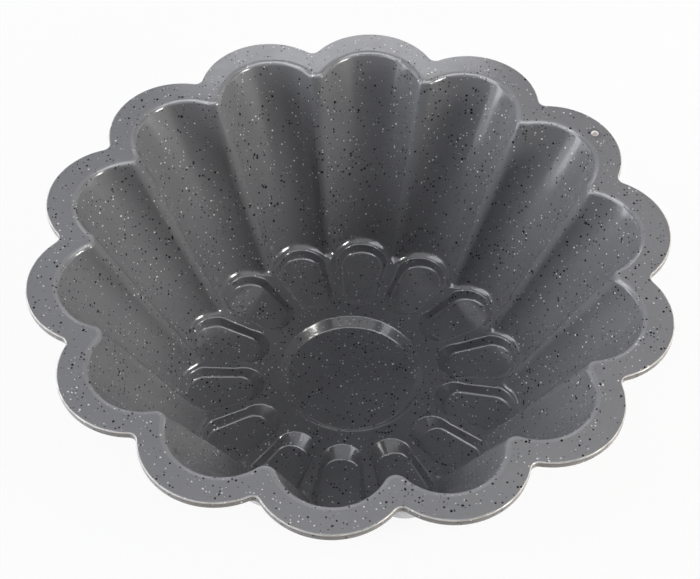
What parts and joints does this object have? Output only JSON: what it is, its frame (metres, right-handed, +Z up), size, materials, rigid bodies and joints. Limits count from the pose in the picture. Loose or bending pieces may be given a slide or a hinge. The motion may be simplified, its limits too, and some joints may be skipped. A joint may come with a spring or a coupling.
{
  "type": "brioche mould",
  "caption": "Round fluted baking mould with a flat scalloped rim, a tapered channelled wall and a floor of sunken petals around a sunken disc.",
  "frame": {"origin": "centre of the flat base, on the surface that the mould stands on", "axes": "+Z up along the axis, out of the mouth; a rim lobe is centred on -Y"},
  "size_m": [0.2452, 0.25, 0.08],
  "materials": {
    "speckled_silicone": "glossy moulded silicone, dark grey with fine black and white speckles",
    "frame_steel": "plain stamped steel"
  },
  "bodies": {
    "root": {"silicone_shell": "speckled_silicone", "rim_frame": "frame_steel"}
  },
  "joints": []
}
